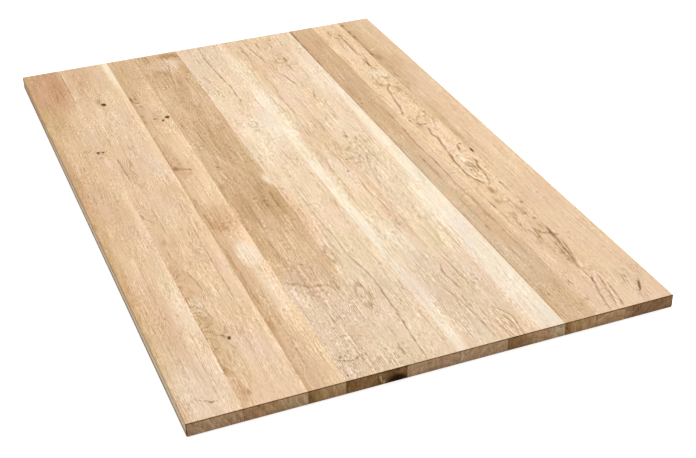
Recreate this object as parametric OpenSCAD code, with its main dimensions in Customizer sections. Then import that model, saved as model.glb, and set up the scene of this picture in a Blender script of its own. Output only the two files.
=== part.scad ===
// Solid oak table top, glued up from full-length staves
//
// The staves lie side by side, face to face at their glued joints. The glued-up
// top is then cut to width, which trims its two outermost staves, and eased
// round its whole outside, so only the outermost edges carry an arris. The
// grain runs along Y. The origin is the centre of the underside, and +Z is up.

/* [Top] */
// Length of the top, along the grain
top_length = 1400; // [600:10:3000]
// Width of the finished top, across the staves
top_width = 900; // [800:5:1000]
// Thickness of the finished top
top_thickness = 26; // [16:1:60]
// Radius of the eased arrises round the top face and the underside
arris_radius = 2; // [0.5:0.5:6]
// Radius of the four upright corners, seen from above
corner_radius = 2.5; // [0.5:0.5:20]

/* [Staves] */
// Width of stave 2, the second from the left as seen from the near end
stave_2_width = 110; // [30:1:160]
// Width of stave 3
stave_3_width = 66; // [30:1:160]
// Width of stave 4
stave_4_width = 109; // [30:1:160]
// Width of stave 5
stave_5_width = 97; // [30:1:160]
// Width of stave 6
stave_6_width = 91; // [30:1:160]
// Width of stave 7
stave_7_width = 112; // [30:1:160]
// Width of stave 8
stave_8_width = 63; // [30:1:160]
// Width of stave 9
stave_9_width = 73; // [30:1:160]
// How far the eight inner staves lie to the right of the middle of the top
inner_shift = 5.5; // [-30:0.5:30]

/* [Hidden] */
NODES = [
    "stave_1", "stave_2", "stave_3", "stave_4", "stave_5",
    "stave_6", "stave_7", "stave_8", "stave_9", "stave_10"
];
$fn = 48;

inner_widths = [
    stave_2_width, stave_3_width, stave_4_width, stave_5_width,
    stave_6_width, stave_7_width, stave_8_width, stave_9_width
];

// Oak tones, from the browner heartwood to the pale boards beside the sapwood
pinkish_tan = [0.83, 0.70, 0.55];
warm_tan = [0.80, 0.67, 0.52];
brown_tan = [0.75, 0.62, 0.47];
cream = [0.89, 0.79, 0.65];
pale_cream = [0.91, 0.82, 0.69];

tones = [
    pinkish_tan, pinkish_tan, warm_tan, brown_tan, cream,
    pale_cream, cream, brown_tan, warm_tan, pinkish_tan
];

// Sum of the first values of a list
function sum_of(list, count) = count == 0 ? 0 : sum_of(list, count - 1) + list[count - 1];

inner_count = len(inner_widths);
inner_left = inner_shift - sum_of(inner_widths, inner_count) / 2;

// Upright faces across the top, from its left edge over the glued joints to its right edge
faces = [
    -top_width / 2,
    for (count = [0 : inner_count]) inner_left + sum_of(inner_widths, count),
    top_width / 2
];

// The corner of wood that rounding takes off, with its sharp point at the origin
module rounded_off_corner(radius) {
    difference() {
        square(radius);
        translate([radius, radius]) circle(radius);
    }
}

// A rectangle centred on the origin, its four corners rounded to true arcs
module rounded_rectangle(size, radius) {
    difference() {
        square(size, center = true);
        for (side = [0, 1], end = [0, 1])
            mirror([side, 0])
                mirror([0, end])
                    translate(-size / 2)
                        rounded_off_corner(radius);
    }
}

// The top as seen from above, as thick as the finished top
module plan_prism() {
    linear_extrude(top_thickness)
        rounded_rectangle([top_width, top_length], corner_radius);
}

// The cross-section of the whole top, run along the grain
module cross_section_prism() {
    translate([0, top_length / 2, top_thickness / 2])
        rotate([90, 0, 0])
            linear_extrude(top_length)
                rounded_rectangle([top_width, top_thickness], arris_radius);
}

// The long section of the whole top, run across the grain
module long_section_prism() {
    translate([-top_width / 2, 0, top_thickness / 2])
        rotate([90, 0, 90])
            linear_extrude(top_width)
                rounded_rectangle([top_length, top_thickness], arris_radius);
}

// The outside of the glued-up top, eased round both faces and at its corners
module eased_top() {
    intersection() {
        plan_prism();
        cross_section_prism();
        long_section_prism();
    }
}

// One full-length stave: the slice of the eased top between its two side faces
module stave(index) {
    color(tones[index])
        intersection() {
            eased_top();
            translate([faces[index], -top_length / 2, 0])
                cube([faces[index + 1] - faces[index], top_length, top_thickness]);
        }
}

for (index = [0 : len(NODES) - 1])
    stave(index);
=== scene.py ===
"""Solid oak table top: the figure, pores, knots and end grain of its ten glued staves."""

import math
from dataclasses import dataclass, field

import bpy
import numpy as np
from mathutils import Matrix, Vector


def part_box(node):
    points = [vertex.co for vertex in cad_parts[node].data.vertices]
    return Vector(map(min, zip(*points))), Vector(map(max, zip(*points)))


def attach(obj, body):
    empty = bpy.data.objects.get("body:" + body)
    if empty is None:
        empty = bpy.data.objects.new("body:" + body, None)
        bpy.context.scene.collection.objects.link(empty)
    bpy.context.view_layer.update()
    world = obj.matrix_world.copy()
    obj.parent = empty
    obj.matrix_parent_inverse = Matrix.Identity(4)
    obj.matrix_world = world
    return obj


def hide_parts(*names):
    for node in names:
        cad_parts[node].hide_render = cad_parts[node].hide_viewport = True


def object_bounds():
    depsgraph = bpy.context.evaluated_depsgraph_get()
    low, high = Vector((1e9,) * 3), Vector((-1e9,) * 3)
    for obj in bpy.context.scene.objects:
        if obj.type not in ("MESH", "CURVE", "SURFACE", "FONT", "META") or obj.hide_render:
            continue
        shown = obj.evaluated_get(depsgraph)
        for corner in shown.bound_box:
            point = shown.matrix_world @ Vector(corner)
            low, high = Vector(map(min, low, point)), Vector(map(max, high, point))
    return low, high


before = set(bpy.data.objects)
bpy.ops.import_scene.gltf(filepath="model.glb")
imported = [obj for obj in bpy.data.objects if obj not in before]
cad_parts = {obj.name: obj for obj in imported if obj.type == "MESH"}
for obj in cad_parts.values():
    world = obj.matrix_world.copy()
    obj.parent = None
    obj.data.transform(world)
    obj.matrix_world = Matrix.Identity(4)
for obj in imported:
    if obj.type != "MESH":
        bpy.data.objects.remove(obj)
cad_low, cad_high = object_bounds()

MM = 0.001

# The panel, from the frame
LENGTH = cad_high.y - cad_low.y
THICKNESS = cad_high.z - cad_low.z
ARRIS = 2 * MM
CORNER = 2.5 * MM
# Places closer than this are the same
TOUCHING = 1e-6

# Oak colours, as they look in plain light
SAPWOOD = "fcebce"
COOL_CREAM = "f5e3ca"
PALE = "f8e2c4"
CREAM = "f2d9b7"
HONEY = "f5d4ac"
PEACH = "efc8a0"
DUSTY = "e8ceaf"
LIGHT_TAN = "eacaa6"
TAN = "e2c09a"
PINK_TAN = "e7c6a4"
SALMON = "dfb48a"
ROSY_TAN = "cb9c75"
GREY_TAN = "dabe9b"
BROWN_TAN = "d8b58d"
OLIVE = "c9a376"
BROWN = "bf9467"
UMBER = "a87c4c"
SEPIA = "80592f"
KNOT_BROWN = "4c2a08"
END_TAN = "caa276"
END_BROWN = "c69e6e"
END_GREY = "cba681"
END_RED = "a27a58"
END_DARK = "4e361c"
END_BLACK = "241405"
END_DEEP = "8d6739"
END_PALE = "d1b68f"
COOL_SAND = "e7d2b6"
# Painted shade along the bottom of the long sides
SIDE_PAINTED_SHADE = "806e58"

# How strongly the drawn lines, spots and loops of the figure show
FIGURE = 0.85

# Marks fade out between these heights above the underside, in mm
MARKS_GONE = 8
MARKS_FULL = 22

# Further off than any mark reaches, in its half sizes
FAR_OFF = 9

# Shading never goes below this, and acts by these powers on red, green and blue
DARKEST = 0.05
REDDENING = (1, 1.2, 1.6)

# The surface of sanded, unvarnished oak
ROUGHNESS = 0.7
SPECULAR = 0.04
RELIEF = 0.12 * MM
RELIEF_SHARE = 0.6

# How far apart the staves lie in the noises, in mm
SEED_STEP = (311, 1733, 97)

# How finely the meshes are cut, and how far round a knot they are cut finely, in its half sizes
CUT_ACROSS = 12 * MM
CUT_ALONG = 25 * MM
CUT_UP = 9 * MM
KNOT_CUT = 0.6 * MM
KNOT_REACH = 1.6
SHARP_EDGE = math.radians(35)

# How far a knot's hollow reaches, in its half sizes
HOLLOW_REACH = 1.1


@dataclass
class Patch:
    """A soft patch of another colour. Its half sizes are in mm, and it turns anticlockwise in degrees."""
    across: float
    along: float
    wide: float
    long: float
    strength: float
    colour: str = UMBER
    core: float = 0.0
    turn: float = 0.0
    through: bool = False

    def layers(self, n, place):
        away = n.ellipse(place.fine, self.across, self.along, self.wide, self.long, self.turn)
        share = n.fade(away, 1, self.core, 0, self.strength)
        return [(share if self.through else n.times(share, place.near_top), self.colour)]


@dataclass
class Spots:
    """Small spots of one size. Each place is across then along, in mm."""
    places: list
    wide: float
    long: float
    strength: float
    colour: str = UMBER
    core: float = 0.0

    def layers(self, n, place):
        nearest = FAR_OFF
        for across, along in self.places:
            away = n.ellipse(place.fine, across, along, self.wide, self.long, 0)
            nearest = n.math("MINIMUM", away, nearest)
        share = n.fade(nearest, 1, self.core, 0, self.strength * FIGURE)
        return [(n.times(share, place.near_top), self.colour)]


@dataclass
class Loop(Patch):
    """Only the broken rim of a patch, as thick as that share of its half sizes."""
    thick: float = 0.3

    def layers(self, n, place):
        away = n.ellipse(place.fine, self.across, self.along, self.wide, self.long, self.turn)
        off_rim = n.math("ABSOLUTE", n.math("SUBTRACT", away, 1))
        share = n.fade(off_rim, self.thick, 0, 0, self.strength * FIGURE)
        return [(n.times(share, place.broken), self.colour)]


@dataclass
class Vein:
    """A thin line. Its path is a list of places, each across then along, in mm.

    It runs along the stave, or over it where it says so. A pale halo lies beside it, that far to
    the right, or to the left where the halo is below zero.
    """
    path: list
    wide: float
    strength: float
    colour: str = UMBER
    halo: float = 0.0
    over: bool = False
    through: bool = False

    def share(self, n, place, strength, shift):
        way, side = (place.across, place.along) if self.over else (place.along, place.across)
        path = self.path if self.over else [(along, across) for across, along in self.path]
        middle = n.math("ADD", n.curve(way, path), shift)
        away = n.times(n.math("ABSOLUTE", n.math("SUBTRACT", side, middle)), place.swell)
        share = n.fade(away, self.wide, 0, 0, strength)
        if self.through:
            return share
        low = min(path)[0]
        high = max(path)[0]
        taper = min(5 if self.over else 18, (high - low) / 3)
        share = n.times(share, n.fade(way, low - taper / 3, low + taper))
        share = n.times(share, n.fade(way, high + taper / 3, high - taper))
        return n.times(share, place.broken)

    def layers(self, n, place):
        strength = self.strength if self.through else self.strength * FIGURE
        layers = [(self.share(n, place, strength, 0), self.colour)]
        if self.halo:
            layers.insert(0, (self.share(n, place, strength * 0.8, self.halo), PALE))
        return layers


def straight(across, start, end, wide, strength, colour=UMBER, **more):
    """A vein that runs straight along the stave."""
    return Vein([(across, start), (across, end)], wide, strength, colour, **more)


@dataclass
class EndPatch:
    """A soft patch of another colour on the near end only, in mm across and up."""
    across: float
    up: float
    wide: float
    high: float
    strength: float
    colour: str
    core: float = 0.0
    turn: float = 0.0

    def layers(self, n, place):
        centre = (self.across, 0, self.up)
        sizes = (self.wide, 60, self.high)
        away = n.ellipsoid(place.fine, centre, sizes, (0, math.radians(-self.turn), 0))
        return [(n.fade(away, 1, self.core, 0, self.strength), self.colour)]


@dataclass
class Hill:
    """Where the growth rings bulge towards the top face, so that their lines close into loops."""
    across: float
    along: float
    wide: float
    long: float
    lift: float
    turn: float = 0.0


@dataclass
class Knot:
    """A dark knot or crack with a hollow in the top face. Its half sizes and its depth are in mm."""
    across: float
    along: float
    wide: float
    long: float
    turn: float = 0.0
    depth: float = 0.9
    dark: float = 1.0
    rim: float = 2.2
    lift: float = 6.0


@dataclass
class Stave:
    """One board: its tones, how its growth rings lie, how rough its grain looks, and its marks."""
    tone: str
    deep: str
    pith_across: float
    pith_below: float
    end_tone: str
    ring: float = 3.0
    tilt: float = 0.0
    lean: float = 0.0
    line: float = 0.2
    arch: float = 0.3
    steady: float = 0.4
    band: float = 0.5
    wander: float = 6.0
    grain: float = 1.0
    drift: float = 0.3
    fleck: float = 0.0
    marks: list = field(default_factory=list)
    end_marks: list = field(default_factory=list)
    hills: list = field(default_factory=list)
    knots: list = field(default_factory=list)


stave_1 = Stave(TAN, BROWN_TAN, -70, 60, END_GREY, lean=0.4, drift=0.5, grain=0.85)
stave_1.knots = [Knot(80, 944, 3.6, 4.6, rim=1.8), Knot(90, 942, 2.6, 3, dark=0.85, rim=1.8)]
stave_1.marks = [
    Patch(92, 560, 46, 800, 0.9, LIGHT_TAN, core=0.2),
    Patch(82, 180, 36, 330, 0.8, CREAM, core=0.3),
    Patch(40, 60, 50, 190, 0.9, DUSTY, core=0.3),
    Patch(35, 440, 18, 130, 0.7, PINK_TAN),
    Patch(0, 730, 27, 760, 0.75, OLIVE, core=0.3),
    Patch(24, 1130, 46, 170, 0.75, OLIVE),
    Patch(2, 1310, 34, 270, 0.85, OLIVE, core=0.2),
    Patch(50, 1330, 56, 240, 0.85, ROSY_TAN, core=0.3),
    Patch(50, 1290, 17, 80, 0.7, ROSY_TAN),
    Patch(22, 850, 14, 80, 0.7, SALMON),
    Patch(38, 170, 22, 60, 0.35, BROWN_TAN),
    Patch(4, 380, 22, 240, 0.55, OLIVE),
    Vein([(91, 930), (90.5, 1195), (90, 1400)], 2.8, 0.8, PALE),
    Vein([(86.5, 1200), (86.5, 1290), (86, 1375)], 2.6, 0.6),
    Vein([(67, 1262), (64, 1310), (55, 1345)], 3, 0.5),
    Vein([(52, 1225), (55, 1267)], 3.4, 0.6),
    Vein([(29, 1185), (31, 1235)], 3.2, 0.5),
    Vein([(46, 330), (45, 400), (46, 470)], 2.6, 0.45, halo=9.5),
    Vein([(21, 150), (22, 280)], 2.8, 0.4),
    straight(68, 40, 190, 2.4, 0.45, halo=4),
    Vein([(30, 590), (38, 577), (46, 572), (56, 576), (64, 588)], 3, 0.35, over=True),
    Spots([(3, 1128), (4, 640), (5, 300), (5, 240)], 6, 24, 0.5),
    Spots([(35, 1186), (70, 722), (47, 290), (70, 290), (20, 830)], 4, 7, 0.45),
    Patch(58, 957, 19, 8, 0.5, BROWN),
    Vein([(29, 56), (38, 49), (46, 44), (55, 39), (65, 38)], 3.6, 0.7, SEPIA, over=True),
    Patch(53, 38, 7, 4, 0.7, SEPIA, core=0.2),
]
stave_1.end_marks = [EndPatch(0, 13, 30, 60, 0.5, END_RED)]

stave_2 = Stave(LIGHT_TAN, TAN, -40, 50, END_TAN, lean=-0.3, drift=0.4, arch=0.42, grain=0.8)
stave_2.hills = [
    Hill(-14, 375, 48, 85, 22),
    Hill(-14, 255, 52, 90, 24),
    Hill(-10, 140, 40, 60, 15),
    Hill(-14, 640, 44, 90, 20),
    Hill(26, 845, 20, 60, 6),
]
stave_2.knots = [
    Knot(50, 1171, 4.4, 7.6, turn=12, rim=1.8),
    Knot(38, 192, 2.4, 5.4, turn=-6, dark=0.85, rim=1.8),
]
stave_2.marks = [
    Patch(60, 930, 48, 360, 0.5, PINK_TAN, core=0.3),
    Patch(72, 1080, 30, 160, 0.5, DUSTY),
    Patch(52, 380, 60, 290, 0.5, TAN, core=0.2),
    Patch(80, 120, 60, 130, 0.5, DUSTY),
    Patch(4, 300, 34, 480, 0.9, BROWN_TAN, core=0.2),
    Patch(6, 150, 26, 130, 0.5, BROWN_TAN),
    Patch(10, 1100, 20, 420, 0.7, TAN, core=0.3),
    Patch(30, 1400, 80, 260, 0.9, BROWN_TAN, core=0.2),
    Patch(86, 830, 34, 110, 0.55, PALE),
    Patch(16, 305, 18, 45, 0.8, COOL_SAND),
    Patch(18, 100, 36, 50, 0.5, BROWN_TAN),
    Patch(38, 1330, 22, 60, 0.4, SALMON),
    Patch(78, 1290, 20, 100, 0.6, GREY_TAN),
    Vein([(104, 240), (104, 600), (103, 1000), (101, 1200)], 14, 0.7, HONEY, through=True),
    Patch(110, 1400, 20, 260, 0.95, SAPWOOD, core=0.3, through=True),
    Patch(18, 1348, 9, 34, 0.4, BROWN),
    Patch(27, 1303, 8, 32, 0.4, BROWN),
    straight(108.5, 0, 1400, 3, 0.35, PALE, through=True),
    Vein([(2, 1215), (18, 1183)], 3.6, 0.5, BROWN),
    Patch(43, 1190, 8, 18, 0.6, BROWN, turn=-20),
    Patch(37, 1147, 7, 7, 0.9, PALE),
    Vein([(35, 1096), (46, 1125), (56, 1152)], 4, 0.4),
    Vein([(36, 1000), (37, 1050), (36, 1092)], 3, 0.45),
    Vein([(17, 965), (18, 1000), (13, 1016)], 3.4, 0.5),
    Vein([(52, 922), (51, 960)], 3.2, 0.5, SEPIA),
    straight(61, 930, 956, 2.8, 0.5),
    straight(38, 928, 972, 2.4, 0.4),
    Vein([(18, 797), (17, 840), (15.5, 880), (14, 905)], 3.2, 0.6, SEPIA, halo=-4),
    Vein([(38, 758), (28, 775), (20, 796)], 3.4, 0.5),
    Vein([(37, 852), (39, 888)], 3.2, 0.6),
    Vein([(1, 650), (8, 635), (18, 610)], 5, 0.6, SEPIA, over=True),
    Vein([(29, 555), (30, 610), (29, 672)], 2.6, 0.5, halo=5),
    Spots([(62, 568), (78, 570), (23, 715)], 4, 11, 0.4),
    Patch(18, 535, 8, 20, 0.55, BROWN),
    Vein([(15, 465), (14, 508)], 3.4, 0.5, halo=4.5),
    Vein([(85, 225), (83, 330), (83.5, 420), (84, 600), (85, 695)], 3, 0.45),
    Vein([(38, 340), (36, 375), (32, 398), (28, 418)], 3.2, 0.7),
    Patch(6, 372, 9, 14, 0.5, BROWN),
    Vein([(1, 312), (12, 304), (22, 286), (29, 262), (32, 240)], 4, 0.7, over=True),
    Vein([(2, 228), (10, 222), (20, 208), (32, 201), (38, 196)], 3.6, 0.7, over=True),
    Vein([(40, 200), (42, 232)], 3.6, 0.6),
    Vein([(18, 112), (25, 168)], 4, 0.45),
    Vein([(27, 118), (33, 162)], 3, 0.35),
    Patch(4, 108, 7, 26, 0.55),
    Vein([(1, 87), (10, 83), (19, 79)], 2.8, 0.8, PALE, over=True),
    Patch(14, 40, 18, 46, 0.6, BROWN),
    Patch(23, 37, 6, 11, 0.65),
]
stave_2.end_marks = [
    EndPatch(24, 21, 30, 12, 0.45, END_DEEP),
    EndPatch(8, 10, 18, 20, 0.4, END_RED),
    EndPatch(52, 5, 34, 8, 0.3, END_DEEP),
    EndPatch(92, 13, 44, 40, 0.6, END_PALE),
]

stave_3 = Stave(TAN, BROWN_TAN, -60, 40, END_BROWN, ring=2.8)
stave_3.hills = [Hill(20, 1150, 24, 50, 6), Hill(18, 815, 26, 60, 6), Hill(30, 575, 30, 70, 5)]
stave_3.knots = [
    Knot(57.5, 1051, 5.2, 5.6, rim=1.8),
    Knot(44.5, 1038, 3.2, 3.8, dark=0.9, rim=1.6),
    Knot(28.5, 1052, 2.8, 3.4, depth=0.3, dark=0.6, rim=1.8),
]
stave_3.marks = [
    Patch(68, 560, 44, 900, 0.95, HONEY, core=0.25),
    Patch(0, 700, 24, 1000, 0.8, BROWN_TAN, core=0.2),
    Patch(0, 240, 20, 260, 0.7, OLIVE),
    Patch(36, 690, 40, 120, 0.5, HONEY, core=0.2),
    Patch(38, 580, 48, 90, 0.6, SALMON, core=0.3),
    Patch(22, 550, 22, 42, 0.6, ROSY_TAN, core=0.1),
    Patch(44, 880, 30, 120, 0.5, HONEY),
    Patch(44, 430, 28, 64, 0.8, PALE, core=0.5),
    Patch(46, 330, 22, 160, 0.6, PALE, core=0.1),
    Patch(26, 1390, 60, 220, 0.9, BROWN_TAN, core=0.35),
    Patch(12, 1270, 14, 130, 0.5, OLIVE),
    Patch(20, 40, 30, 90, 0.5, BROWN_TAN),
    straight(3, 0, 1400, 6, 0.3, BROWN, through=True),
    straight(25, 1298, 1372, 7, 0.5, BROWN),
    straight(17, 1250, 1288, 3.4, 0.5, PALE),
    Patch(4, 1170, 4.5, 18, 0.75, SEPIA, core=0.2),
    Patch(14, 1174, 4, 7, 0.6, SEPIA, core=0.2),
    Vein([(2, 1160), (9, 1151), (19, 1146)], 4, 0.8, SEPIA, over=True),
    Patch(15, 1137, 12, 6, 0.9, PALE, turn=-8),
    Patch(14, 1127, 11, 5, 0.6, BROWN),
    Patch(46, 1125, 22, 60, 0.7, LIGHT_TAN),
    Patch(60, 1012, 7, 36, 0.8, PALE),
    Patch(42, 985, 20, 34, 0.6, HONEY),
    Spots([(6, 1075), (5, 958), (5, 1045)], 6, 15, 0.5),
    Patch(8, 808, 10, 15, 0.9, core=0.2),
    Vein([(8, 806), (20, 800), (30, 797), (40, 791)], 8, 0.75, over=True),
    Patch(36, 792, 6, 5, 0.45, SEPIA),
    Patch(33, 778, 9, 13, 0.45, BROWN),
    Patch(20, 750, 3, 18, 0.7, PALE),
    Vein([(9, 535), (8.5, 600), (9, 675)], 4.4, 0.65),
    Patch(22, 600, 6, 18, 0.3),
    Vein([(16, 530), (30, 535), (40, 545), (50, 562), (55, 576)], 5, 0.4, over=True),
    Vein([(7, 265), (7.5, 340), (7, 475)], 5, 0.6),
    Patch(22.5, 287, 2.6, 3.4, 0.7, SEPIA),
    Patch(6, 195, 8, 30, 0.4),
    Vein([(22, 20), (23, 260)], 2.8, 0.35),
]
stave_3.end_marks = [EndPatch(0, 13, 30, 60, 0.9, END_DEEP), EndPatch(62, 18, 16, 30, 0.3, END_PALE)]

stave_4 = Stave(BROWN_TAN, OLIVE, 62, -8, END_DEEP, ring=2.4, tilt=0.6, grain=1.3, fleck=0.3, band=0.3)
stave_4.hills = [Hill(60, 285, 60, 50, 5), Hill(40, 55, 50, 40, 5)]
stave_4.marks = [
    Patch(44, 1050, 34, 90, 0.5, TAN),
    Patch(96, 400, 26, 60, 0.5, DUSTY),
    Patch(50, 130, 90, 260, 0.95, DUSTY, core=0.7),
    Patch(60, 370, 60, 200, 0.8, TAN, core=0.3),
    Patch(12, 1010, 30, 420, 0.5, TAN, core=0.2),
    Patch(92, 1120, 30, 260, 0.5, TAN),
    Patch(24, 590, 28, 95, 0.7, OLIVE, core=0.4),
    Patch(84, 600, 30, 110, 0.8, OLIVE, core=0.4),
    Patch(60, 880, 22, 130, 0.6, OLIVE),
    Patch(62, 1330, 60, 40, 0.6, DUSTY, core=0.4),
    Patch(6, 490, 14, 130, 0.5, OLIVE),
    Patch(80, 1377, 33, 17, 0.6, core=0.3),
    Spots([(101, 1366), (78, 1363)], 6, 6, 0.8, SEPIA),
    Patch(91, 1335, 17, 17, 0.4, CREAM),
    Spots([(8, 1282), (23, 1275), (37, 1290), (49, 1276)], 10, 19, 0.5),
    Vein([(54, 1205), (57, 1240), (60, 1265), (64, 1290), (71, 1332)], 4, 0.6, SEPIA, halo=6),
    Patch(67, 1215, 10, 26, 0.6, BROWN),
    Spots([(101, 1265), (91, 1230), (56, 1172), (74, 1175), (52, 1130), (46, 1112)], 7, 12, 0.45),
    straight(61, 998, 1052, 3.2, 0.6),
    straight(64, 1068, 1092, 3, 0.5),
    Patch(91, 980, 10, 24, 0.4, CREAM),
    Vein([(14, 858), (13, 902)], 2.8, 0.4, halo=5),
    Spots([(74, 868), (76, 855), (74, 839), (77, 822), (62, 808), (54, 816)], 5, 6.5, 0.5, SEPIA),
    Vein([(74, 705), (60, 750), (46, 790), (30, 830), (19, 852)], 6, 0.9, LIGHT_TAN),
    Vein([(90, 700), (72, 750), (60, 790), (48, 830)], 5, 0.4),
    Patch(25, 779, 3.6, 4.4, 0.85, SEPIA, core=0.4),
    Vein([(38, 698), (31, 710), (26, 735), (25, 762)], 4, 0.6, PALE),
    Vein([(33, 700), (27, 710), (21.5, 735), (21, 758)], 3, 0.4),
    Patch(10, 695, 10, 16, 0.4),
    Patch(109, 690, 20, 45, 0.9, CREAM, core=0.2),
    Patch(109, 880, 9, 120, 0.8, DUSTY),
    Patch(112, 790, 12, 40, 0.8, DUSTY),
    Patch(80, 665, 24, 26, 0.3, turn=-20),
    Vein([(33, 500), (34, 560), (34, 612)], 3, 0.5, halo=6),
    Spots([(71, 608), (71, 594), (71, 585), (24, 650)], 4, 5, 0.65, SEPIA),
    Vein([(89, 568), (90, 610), (92, 642)], 3.4, 0.6, SEPIA),
    Vein([(26, 318), (26, 400), (27, 472)], 3.2, 0.55, halo=8),
    Spots([(55, 357), (39, 355), (69, 362), (69, 340), (90, 550)], 6, 12, 0.4),
    Patch(55, 357, 2.6, 3.2, 0.7, SEPIA),
    Vein([(0, 321), (14, 305), (27, 300), (39, 285), (51, 280), (74, 275), (81, 265),
          (100, 264)], 7, 0.55, over=True),
    Patch(22, 233, 22, 34, 0.3, CREAM),
    Spots([(56, 172), (46, 166), (74, 180)], 9, 12, 0.35),
    Vein([(17, 112), (45, 118), (76, 103)], 4, 0.4, over=True),
    Vein([(3, 66), (14, 55), (29, 50), (41, 52), (56, 61)], 4, 0.65, over=True),
    Spots([(15, 64), (19, 52), (41.5, 52), (9, 14)], 3.6, 6, 0.85, SEPIA),
    Patch(76, 36, 7, 13, 0.35),
    straight(49, 18, 112, 3, 0.4),
    Patch(92, 60, 24, 40, 0.4, CREAM),
]
stave_4.end_marks = [
    EndPatch(82, 8, 26, 22, 0.6, END_DARK, core=0.2),
    EndPatch(93, 4, 25, 14, 0.95, END_BLACK, core=0.4),
    EndPatch(80, 25, 30, 4, 0.5, END_DARK),
    EndPatch(93, 23, 6, 6, 0.8, KNOT_BROWN),
    EndPatch(57, 14, 2.6, 15, 0.8, KNOT_BROWN, turn=8),
    EndPatch(62, 12, 2.4, 12, 0.95, END_PALE, turn=10),
    EndPatch(68, 5, 3.6, 9, 0.8, END_PALE, turn=-14),
]

stave_5 = Stave(CREAM, LIGHT_TAN, 45, 60, END_GREY, ring=2.6, tilt=0.5, line=0.26, steady=0.5)
stave_5.hills = [
    Hill(14, 1154, 24, 70, 6),
    Hill(48, 940, 26, 60, 6),
    Hill(8, 365, 22, 60, 7),
    Hill(14, 220, 26, 70, 7),
]
stave_5.marks = [
    Patch(48, 1400, 90, 250, 0.9, DUSTY, core=0.35),
    Patch(30, 1180, 40, 130, 0.35, PINK_TAN),
    Patch(48, 890, 50, 150, 0.7, PALE, core=0.3),
    Patch(90, 900, 30, 190, 1, COOL_CREAM),
    Patch(44, 130, 90, 340, 0.8, DUSTY, core=0.4),
    Patch(0, 540, 32, 160, 0.9, SALMON, core=0.15),
    Patch(20, 540, 40, 220, 0.4, HONEY),
    Patch(10, 0, 50, 140, 0.6, GREY_TAN),
    Patch(8, 1335, 12, 74, 0.25, PALE),
    Vein([(61, 1048), (61, 1100), (63, 1140), (60, 1170), (58, 1200), (56, 1240), (54, 1290),
          (53, 1325), (55, 1350), (57, 1400)], 4, 0.7, halo=-5),
    Spots([(53.5, 1326), (58, 1200)], 3.4, 11, 0.6, SEPIA),
    Vein([(0, 1070), (5, 1110), (15, 1124), (23, 1136), (25, 1160), (20, 1185), (15, 1202)], 4, 0.9, PALE),
    Vein([(12, 1130), (5, 1150), (8, 1182)], 3, 0.6, PALE),
    Vein([(27, 1178), (18, 1224)], 3.2, 0.5),
    Spots([(32, 1100), (11, 640)], 6, 5, 0.5),
    Patch(48, 937, 3.2, 4, 0.8, SEPIA),
    Loop(48, 937, 9, 15, 0.4, thick=0.5),
    straight(92, 1288, 1322, 3, 0.6),
    straight(65, 838, 912, 2.8, 0.4),
    Vein([(72, 708), (68, 750), (65, 802)], 3, 0.45),
    Vein([(33, 658), (32, 802)], 2.8, 0.6, PALE),
    Vein([(35, 458), (34, 560), (35, 652)], 2.8, 0.55, halo=4),
    Vein([(42, 480), (41, 560), (42, 640)], 2.2, 0.35),
    Vein([(40, 8), (41, 60), (44, 100), (47, 140), (48, 200), (50, 240), (48, 290), (42, 325),
          (38, 360), (38, 420), (37, 462)], 3.4, 0.6, SEPIA, halo=6),
    Patch(41, 60, 3.4, 9, 0.6, SEPIA),
    Vein([(25, 350), (24, 462)], 2.6, 0.4),
    Loop(7, 365, 7, 25, 0.5, thick=0.5),
    Spots([(3, 378), (13, 370), (5, 345)], 3.4, 9, 0.7),
    Loop(13, 220, 10, 34, 0.5, turn=-6, thick=0.4),
    Patch(8, 215, 4, 10, 0.5),
    Vein([(86, 203), (92, 242)], 3.4, 0.6, SEPIA),
    straight(85, 10, 152, 2.6, 0.4),
    straight(16, 78, 122, 3.2, 0.5),
    Vein([(9, 26), (11, 64)], 5, 0.75, SEPIA),
]

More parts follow.
